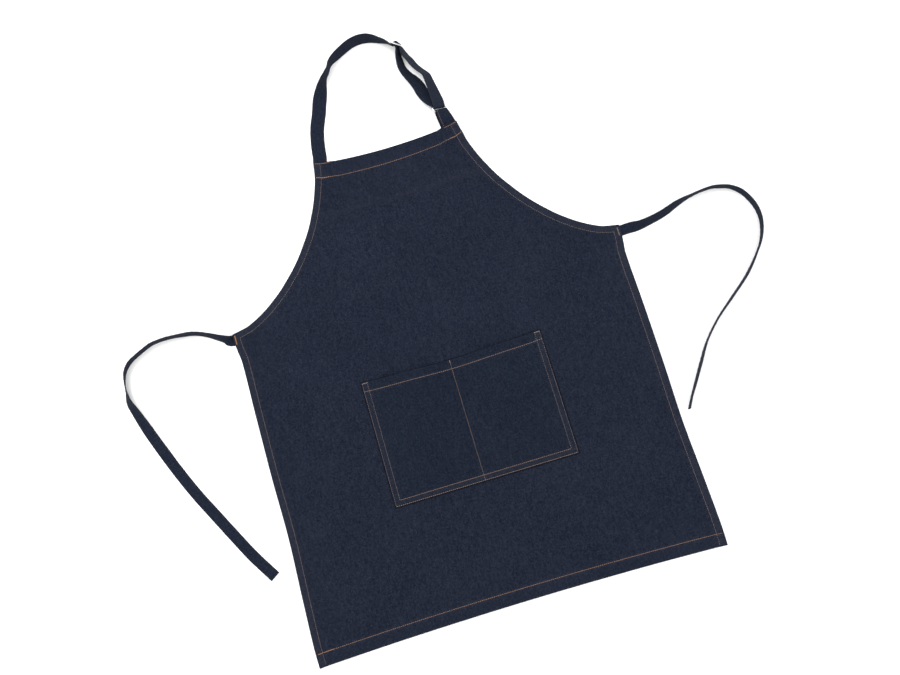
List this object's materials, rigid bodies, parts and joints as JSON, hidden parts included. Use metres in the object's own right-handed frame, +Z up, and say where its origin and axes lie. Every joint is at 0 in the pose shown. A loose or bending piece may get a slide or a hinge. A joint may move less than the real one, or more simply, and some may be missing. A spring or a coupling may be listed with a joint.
{
  "type": "apron",
  "caption": "Denim bib apron lying face up, with a divided patch pocket, an adjustable neck strap with metal slider and ring, and waist ties spread out.",
  "frame": {"origin": "on the surface that the apron lies on, below the middle of its waist", "axes": "+X towards the apron's right-hand side as seen, +Y towards its neck, +Z up, out of its face"},
  "size_m": [1.1173, 1.021, 0.0295],
  "materials": {
    "denim": "raw indigo twill, matt",
    "metal": "bright nickel plate"
  },
  "bodies": {
    "root": {"body_panel": "denim", "pocket": "denim", "neck_strap": "denim", "strap_tab": "denim", "strap_slider": "metal", "strap_ring": "metal", "waist_tie_left": "denim", "waist_tie_right": "denim"}
  },
  "joints": []
}
